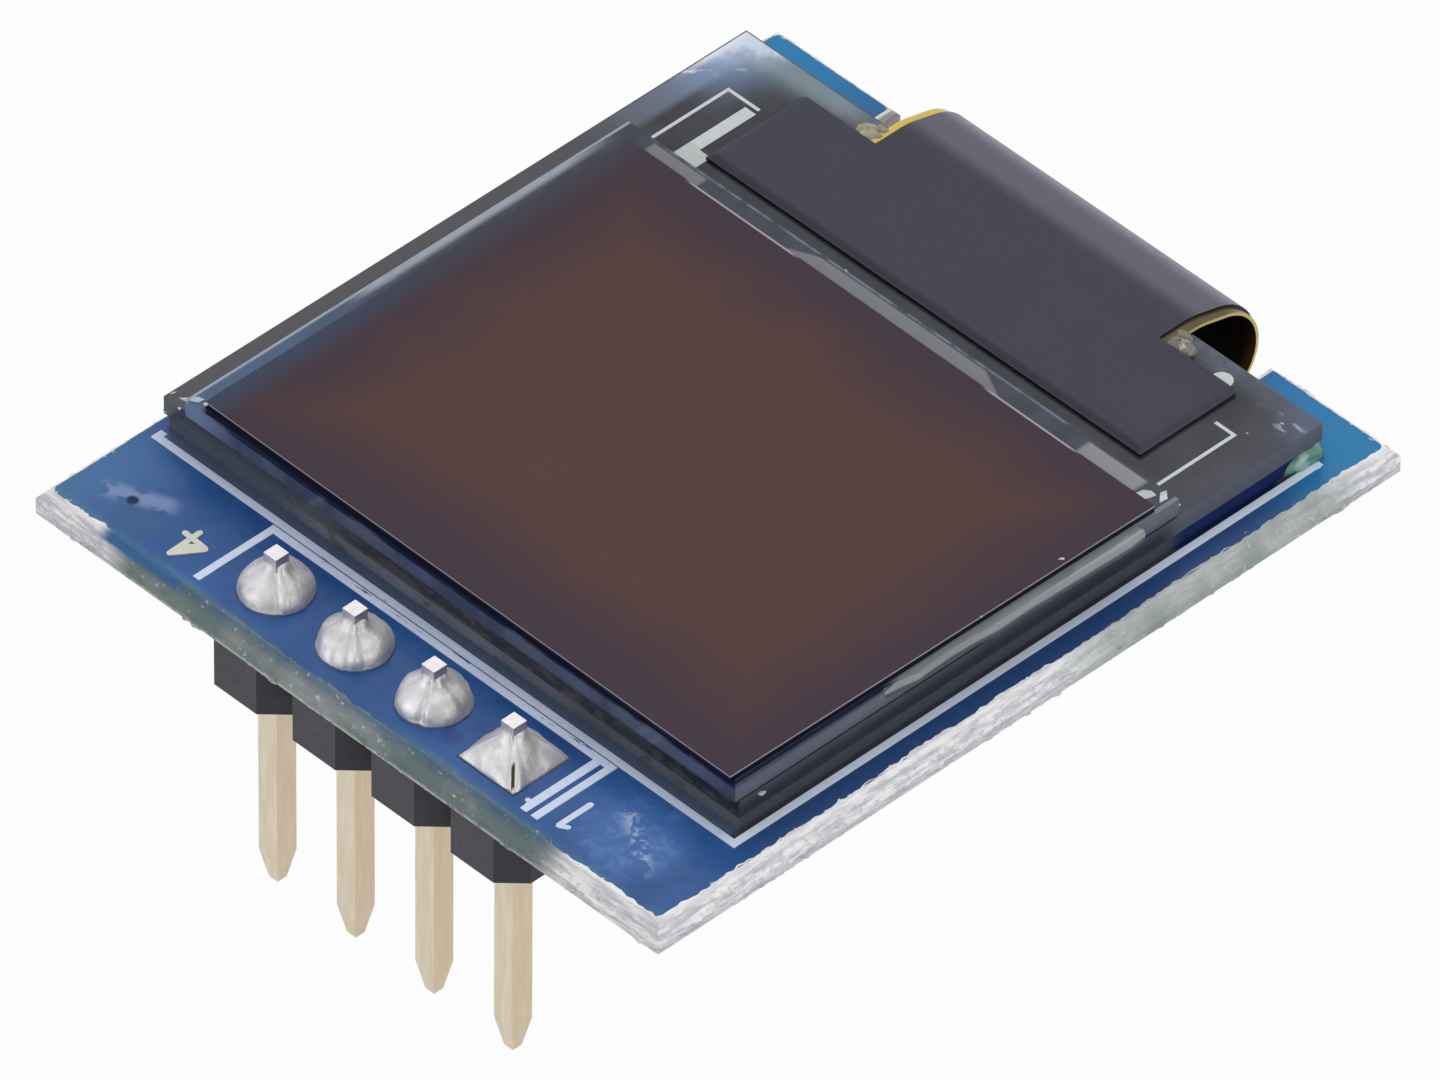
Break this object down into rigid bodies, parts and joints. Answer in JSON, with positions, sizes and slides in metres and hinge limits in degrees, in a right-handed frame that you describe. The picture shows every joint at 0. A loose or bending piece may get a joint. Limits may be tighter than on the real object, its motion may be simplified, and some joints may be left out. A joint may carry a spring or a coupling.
{
  "type": "small oled module",
  "caption": "Small display module: a glass OLED panel on a circuit board with a pin header below its front edge and a flex folded under its back edge.",
  "frame": {"origin": "middle of the pin row, in the plane of the header block's underside", "axes": "+X along the pin row towards pin 1, +Y across the board towards the flex, +Z out of the display"},
  "size_m": [0.0201, 0.0238, 0.0102],
  "materials": {
    "fibreglass": "bare fibreglass board with rough cut edges",
    "solder_mask": "glossy blue solder mask",
    "white_print": "white printed lines",
    "copper_plated": "tinned copper",
    "black_plastic": "charcoal moulded plastic",
    "pin_metal": "pale gold plated pins",
    "solder": "bright solder",
    "foam_tape": "black foam tape",
    "panel_glass": "clear glass, dark over the board",
    "trace_metal": "thin metal film",
    "pixel_stack": "unlit light-emitting layer",
    "seal_resin": "cured edge seal",
    "polariser_film": "glossy dark brown polariser",
    "silicon": "polished silicon",
    "clear_resin": "soft coat",
    "bond_film": "bonding film",
    "amber_film": "amber polyimide film",
    "dark_film": "dark grey satin film",
    "bead_resin": "beige resin",
    "green_glue": "green tinted glue",
    "ceramic": "tan ceramic with tinned ends",
    "resistor_glaze": "black glaze with tinned ends",
    "lead_metal": "tinned leads"
  },
  "bodies": {
    "root": {"board_core": "fibreglass", "mask_top": "solder_mask", "mask_bottom": "solder_mask", "board_print": "white_print", "plated_hole_1": "copper_plated", "plated_hole_2": "copper_plated", "plated_hole_3": "copper_plated", "plated_hole_4": "copper_plated", "underside_pads": "copper_plated", "header_block": "black_plastic", "pin_1": "pin_metal", "pin_2": "pin_metal", "pin_3": "pin_metal", "pin_4": "pin_metal", "solder_1": "solder", "solder_2": "solder", "solder_3": "solder", "solder_4": "solder", "mounting_pad": "foam_tape", "lower_glass": "panel_glass", "ledge_traces": "trace_metal", "pixel_layer": "pixel_stack", "panel_seal": "seal_resin", "upper_glass": "panel_glass", "polariser": "polariser_film", "driver_chip": "silicon", "ledge_resin": "clear_resin", "flex_bond": "bond_film", "flex_film": "amber_film", "flex_cover": "dark_film", "shoulder_bead_left": "bead_resin", "shoulder_bead_right": "bead_resin", "corner_glue": "green_glue", "flex_solder": "solder", "capacitor_1": "ceramic", "capacitor_2": "ceramic", "capacitor_3": "ceramic", "capacitor_4": "ceramic", "capacitor_5": "ceramic", "capacitor_6": "ceramic", "resistor_1": "resistor_glaze", "resistor_2": "resistor_glaze", "resistor_3": "resistor_glaze", "resistor_4": "resistor_glaze", "regulator_body": "black_plastic", "regulator_leads": "lead_metal", "part_solder": "solder"}
  },
  "joints": []
}
